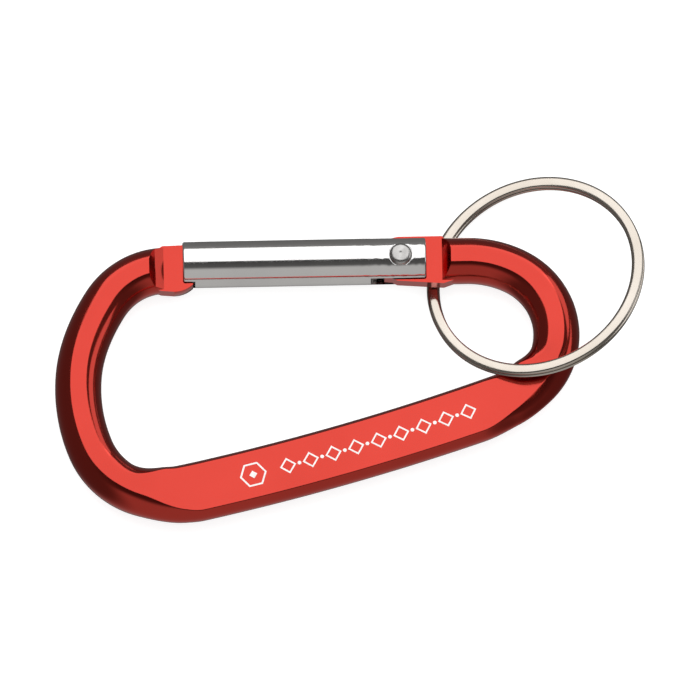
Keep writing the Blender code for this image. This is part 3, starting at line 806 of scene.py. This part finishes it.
# %% [markdown]
# ## The closing spring
# A spring is a wire that follows a rule, so Geometry Nodes coil it: a helix for the wire's line,
# and a small circle swept along it.

# %% Geometry Nodes helpers
FLOAT, INTEGER = "NodeSocketFloat", "NodeSocketInt"


def node_tree(name, decimals, counts=()):
    """A geometry node group with named number inputs, as (tree, input node, output node)."""
    tree = bpy.data.node_groups.new(name, "GeometryNodeTree")
    tree.interface.new_socket("Geometry", in_out="INPUT", socket_type="NodeSocketGeometry")
    for labels, kind in ((counts, INTEGER), (decimals, FLOAT)):
        for label in labels:
            tree.interface.new_socket(label, in_out="INPUT", socket_type=kind)
    tree.interface.new_socket("Geometry", in_out="OUTPUT", socket_type="NodeSocketGeometry")
    return tree, tree.nodes.new("NodeGroupInput"), tree.nodes.new("NodeGroupOutput")


def grown(name, tree, values, source=None):
    """Runs a tree with these input values, and gives the result as a plain mesh object."""
    data = source or bpy.data.meshes.new(name + "_seed")
    seed = bpy.data.objects.new(name + "_seed", data)
    bpy.context.scene.collection.objects.link(seed)
    modifier = seed.modifiers.new("grow", "NODES")
    modifier.node_group = tree
    for item in tree.interface.items_tree:
        if item.item_type == "SOCKET" and item.in_out == "INPUT" and item.name in values:
            modifier[item.identifier] = values[item.name]
    graph = bpy.context.evaluated_depsgraph_get()
    mesh = bpy.data.meshes.new_from_object(seed.evaluated_get(graph))
    bpy.data.objects.remove(seed, do_unlink=True)
    obj = bpy.data.objects.new(name, mesh)
    bpy.context.scene.collection.objects.link(obj)
    return obj


def end_tree(tree, geometry, output, material):
    """Realises instances, sets the finish and joins the output."""
    realise = tree.nodes.new("GeometryNodeRealizeInstances")
    paint = tree.nodes.new("GeometryNodeSetMaterial")
    paint.inputs["Material"].default_value = material
    tree.links.new(geometry, realise.inputs[0])
    tree.links.new(realise.outputs[0], paint.inputs["Geometry"])
    tree.links.new(paint.outputs["Geometry"], output.inputs[0])


def maths(tree, operation, first, second=None, third=None):
    """A Math node. Each value is a number or another node's output."""
    node = tree.nodes.new("ShaderNodeMath")
    node.operation = operation
    for socket, value in zip(node.inputs, (first, second, third)):
        if isinstance(value, (int, float)):
            socket.default_value = value
        elif value is not None:
            tree.links.new(value, socket)
    return node.outputs[0]


# %% Coil the spring
def spring_tree():
    tree, given, output = node_tree("coil_spring", ("Turns", "Radius", "Length", "Wire"))
    helix = tree.nodes.new("GeometryNodeCurveSpiral")
    helix.inputs["Resolution"].default_value = 40
    tree.links.new(given.outputs["Turns"], helix.inputs["Rotations"])
    tree.links.new(given.outputs["Radius"], helix.inputs["Start Radius"])
    tree.links.new(given.outputs["Radius"], helix.inputs["End Radius"])
    tree.links.new(given.outputs["Length"], helix.inputs["Height"])
    wire = tree.nodes.new("GeometryNodeCurvePrimitiveCircle")
    wire.inputs["Resolution"].default_value = 12
    tree.links.new(given.outputs["Wire"], wire.inputs["Radius"])
    sweep = tree.nodes.new("GeometryNodeCurveToMesh")
    sweep.inputs["Fill Caps"].default_value = True
    tree.links.new(helix.outputs["Curve"], sweep.inputs["Curve"])
    tree.links.new(wire.outputs["Curve"], sweep.inputs["Profile Curve"])
    end_tree(tree, sweep.outputs["Mesh"], output, spring_steel)
    return tree


spring_low, spring_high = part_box("gate_spring")
WIRE_RADIUS = 0.15 * MM
spring_length = spring_high.x - spring_low.x - 2 * WIRE_RADIUS
spring_values = {
    "Turns": 11.0,
    "Radius": 0.72 * MM,
    "Length": spring_length,
    "Wire": WIRE_RADIUS,
}
spring = grown("closing_spring", spring_tree(), spring_values)
spring.data.transform(Matrix.Rotation(math.pi / 2, 4, "Y"))
spring.data.transform(Matrix.Translation((spring_low.x + WIRE_RADIUS - GATE_MIDDLE.x, 0, 0)))
place(spring, spring_steel, "closing_spring", 60)
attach(spring, "gate")
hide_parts("gate_spring")
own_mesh(spring)


# %% [markdown]
# ## The split ring
# A split ring is one flat wire wound twice. The wire steps from the lower coil to the upper one in
# a short crossover, and each end lies against that step, so keys can be threaded between the coils.
# Geometry Nodes bend a line by that rule: its angle grows along it, and its height changes only in
# the crossover.

# %% Wind the ring
RING_VALUES = {
    "Radius": 14.15 * MM,
    "Wire Width": 1.58 * MM,
    "Wire Height": 0.71 * MM,
    "Rise": 0.77 * MM,
    "Crossover": math.radians(16),
    "Squareness": 0.88,
}
SEAM_TURN = math.radians(174)
RING_CENTRE = Vector((30.87, -3.1, 1.43)) * MM
RING_RISE_X, RING_RISE_Y = 0.259, -0.182


def squared_off(tree, coordinate, size, power):
    """Half the size, times the coordinate of a unit circle raised to a power below 1, with its sign kept."""
    raised = maths(tree, "POWER", maths(tree, "ABSOLUTE", coordinate), power)
    signed = maths(tree, "MULTIPLY", raised, maths(tree, "SIGN", coordinate))
    return maths(tree, "MULTIPLY", signed, maths(tree, "MULTIPLY", size, 0.5))


def ring_tree():
    tree, given, output = node_tree("split_ring", tuple(RING_VALUES))
    line = tree.nodes.new("GeometryNodeCurvePrimitiveLine")
    resample = tree.nodes.new("GeometryNodeResampleCurve")
    resample.inputs["Count"].default_value = 640
    tree.links.new(line.outputs["Curve"], resample.inputs["Curve"])
    along = tree.nodes.new("GeometryNodeSplineParameter")
    whole = maths(tree, "SUBTRACT", 4 * math.pi, given.outputs["Crossover"])
    angle = maths(tree, "MULTIPLY", along.outputs["Factor"], whole)
    start = maths(tree, "SUBTRACT", 2 * math.pi, given.outputs["Crossover"])
    climb = tree.nodes.new("ShaderNodeMapRange")
    climb.interpolation_type = "SMOOTHERSTEP"
    climb.inputs["To Min"].default_value = -0.5
    climb.inputs["To Max"].default_value = 0.5
    climb.inputs["From Max"].default_value = 2 * math.pi
    tree.links.new(angle, climb.inputs["Value"])
    tree.links.new(start, climb.inputs["From Min"])
    height = maths(tree, "MULTIPLY", climb.outputs["Result"], given.outputs["Rise"])
    x = maths(tree, "MULTIPLY", maths(tree, "COSINE", angle), given.outputs["Radius"])
    y = maths(tree, "MULTIPLY", maths(tree, "SINE", angle), given.outputs["Radius"])
    point = tree.nodes.new("ShaderNodeCombineXYZ")
    for socket, value in zip(point.inputs, (x, y, height)):
        tree.links.new(value, socket)
    bend = tree.nodes.new("GeometryNodeSetPosition")
    tree.links.new(resample.outputs["Curve"], bend.inputs["Geometry"])
    tree.links.new(point.outputs["Vector"], bend.inputs["Position"])
    upright = tree.nodes.new("GeometryNodeSetCurveNormal")
    upright.mode = "Z_UP"
    tree.links.new(bend.outputs["Geometry"], upright.inputs["Curve"])
    circle = tree.nodes.new("GeometryNodeCurvePrimitiveCircle")
    circle.inputs["Resolution"].default_value = 40
    circle.inputs["Radius"].default_value = 1.0
    spot = tree.nodes.new("GeometryNodeInputPosition")
    sides = tree.nodes.new("ShaderNodeSeparateXYZ")
    tree.links.new(spot.outputs[0], sides.inputs[0])
    across = squared_off(tree, sides.outputs["X"], given.outputs["Wire Width"], given.outputs["Squareness"])
    upward = squared_off(tree, sides.outputs["Y"], given.outputs["Wire Height"], given.outputs["Squareness"])
    flattened = tree.nodes.new("ShaderNodeCombineXYZ")
    tree.links.new(across, flattened.inputs["X"])
    tree.links.new(upward, flattened.inputs["Y"])
    section = tree.nodes.new("GeometryNodeSetPosition")
    tree.links.new(circle.outputs["Curve"], section.inputs["Geometry"])
    tree.links.new(flattened.outputs["Vector"], section.inputs["Position"])
    sweep = tree.nodes.new("GeometryNodeCurveToMesh")
    sweep.inputs["Fill Caps"].default_value = True
    tree.links.new(upright.outputs["Curve"], sweep.inputs["Curve"])
    tree.links.new(section.outputs["Geometry"], sweep.inputs["Profile Curve"])
    end_tree(tree, sweep.outputs["Mesh"], output, nickel)
    return tree


ring = grown("split_ring_coils", ring_tree(), RING_VALUES)
corners = [vertex.co for vertex in ring.data.vertices]
spans = [max(c[i] for c in corners) - min(c[i] for c in corners) for i in range(3)]
print("ring, mm:", [round(span / MM, 2) for span in spans])

normal = Vector((-RING_RISE_X, -RING_RISE_Y, 1)).normalized()
swing = Vector((0, 1, RING_RISE_Y)).normalized()
reach = swing.cross(normal).normalized()
ring_axes = Matrix((reach, swing, normal)).transposed().to_4x4()
seam_turn = Matrix.Rotation(SEAM_TURN, 4, "Z")
ring.data.transform(Matrix.Translation(RING_CENTRE) @ ring_axes @ seam_turn)
place(ring, nickel, "split_ring_coils", 50)
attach(ring, "split_ring")
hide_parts("split_ring")


# %% [markdown]
# ## The print
# The spine's flat carries a line of white pad print. Here it is a plain ornament of small diamonds
# and dots with a hexagon at its end. Geometry Nodes set the marks along the spine's own centre
# line, turned to follow it, and every second mark is a dot.

# %% Print the spine
PRINT_LEFT, PRINT_RIGHT = -2.9 * MM, 21.6 * MM
PRINT_MARKS = 17
PRINT_LINE = 0.3 * MM
PRINT_THICKNESS = 0.02 * MM
BADGE_X = -7.6 * MM
PRESSED_SPAN = (33 * MM, 78 * MM)
MARK_RISE = 0.45 * PRINT_THICKNESS
BADGE_SINK = 0.05 * PRINT_THICKNESS


def spine_stations():
    """The stations of the bar between its two ends' bends, where it is pressed flat."""
    first, last = PRESSED_SPAN
    return [station for station in bar_stations() if first < station[2] < last]


def spine_curve(left, right):
    """A poly curve along the middle of the spine's top flat, between two positions along X."""
    stations = [station for station in spine_stations() if left <= station[0].x <= right]
    curve = bpy.data.curves.new("spine_line", "CURVE")
    curve.dimensions = "3D"
    spline = curve.splines.new("POLY")
    spline.points.add(len(stations) - 1)
    for point, (position, _, _) in zip(spline.points, stations):
        point.co = (position.x, position.y, SPINE["half_height"], 1)
    return curve


def print_tree():
    tree, given, output = node_tree("print_line", ("Size", "Line", "Thickness"), ("Marks",))
    spread = tree.nodes.new("GeometryNodeResampleCurve")
    tree.links.new(given.outputs["Geometry"], spread.inputs["Curve"])
    tree.links.new(given.outputs["Marks"], spread.inputs["Count"])
    diamond = tree.nodes.new("GeometryNodeCurvePrimitiveCircle")
    diamond.inputs["Resolution"].default_value = 4
    tree.links.new(given.outputs["Size"], diamond.inputs["Radius"])
    stroke = tree.nodes.new("GeometryNodeCurvePrimitiveQuadrilateral")
    tree.links.new(given.outputs["Line"], stroke.inputs["Width"])
    tree.links.new(given.outputs["Thickness"], stroke.inputs["Height"])
    outline = tree.nodes.new("GeometryNodeCurveToMesh")
    tree.links.new(diamond.outputs["Curve"], outline.inputs["Curve"])
    tree.links.new(stroke.outputs["Curve"], outline.inputs["Profile Curve"])
    dot = tree.nodes.new("GeometryNodeMeshCylinder")
    dot.inputs["Vertices"].default_value = 20
    tree.links.new(maths(tree, "MULTIPLY", given.outputs["Line"], 0.85), dot.inputs["Radius"])
    tree.links.new(given.outputs["Thickness"], dot.inputs["Depth"])
    index = tree.nodes.new("GeometryNodeInputIndex")
    odd = maths(tree, "MODULO", index.outputs[0], 2)
    even = maths(tree, "SUBTRACT", 1, odd)
    joined = tree.nodes.new("GeometryNodeJoinGeometry")
    tangent = tree.nodes.new("GeometryNodeInputTangent")
    facing = tree.nodes.new("FunctionNodeAlignRotationToVector")
    facing.axis = "X"
    facing.pivot_axis = "Z"
    tree.links.new(tangent.outputs[0], facing.inputs["Vector"])
    for mark, chosen in ((outline.outputs["Mesh"], even), (dot.outputs["Mesh"], odd)):
        stamp = tree.nodes.new("GeometryNodeInstanceOnPoints")
        tree.links.new(spread.outputs["Curve"], stamp.inputs["Points"])
        tree.links.new(chosen, stamp.inputs["Selection"])
        tree.links.new(mark, stamp.inputs["Instance"])
        tree.links.new(facing.outputs["Rotation"], stamp.inputs["Rotation"])
        tree.links.new(stamp.outputs["Instances"], joined.inputs["Geometry"])
    end_tree(tree, joined.outputs["Geometry"], output, print_ink)
    return tree


line_values = {
    "Marks": PRINT_MARKS,
    "Size": 0.98 * MM,
    "Line": PRINT_LINE,
    "Thickness": PRINT_THICKNESS,
}
print_path = spine_curve(PRINT_LEFT, PRINT_RIGHT)
print_line = grown("print_line", print_tree(), line_values, print_path)
print_line.data.transform(Matrix.Translation((0, 0, MARK_RISE)))
place(print_line, print_ink, "printed_line", 30)
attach(print_line, "frame")


# %% The hexagon at the end of the print
def polygon(radius, sides):
    return arc((0, 0), radius, 0, 360 - 360 / sides, sides - 1)


def badge():
    """A hexagon outline with a small solid diamond in its middle."""
    outer = prism(polygon(1.85 * MM, 6), 0, PRINT_THICKNESS)
    combine(outer, prism(polygon(1.58 * MM, 6), -MM, MM), "DIFFERENCE")
    return combine(outer, prism(polygon(0.55 * MM, 4), 0, PRINT_THICKNESS), "UNION")


at_badge = min(spine_stations(), key=lambda station: abs(station[0].x - BADGE_X))
printed_badge = badge()
printed_badge.data.transform(Matrix.Rotation(at_badge[1], 4, "Z"))
badge_place = (at_badge[0].x, at_badge[0].y, SPINE["half_height"] - BADGE_SINK)
printed_badge.data.transform(Matrix.Translation(badge_place))
place(printed_badge, print_ink, "printed_badge", 30)
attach(printed_badge, "frame")
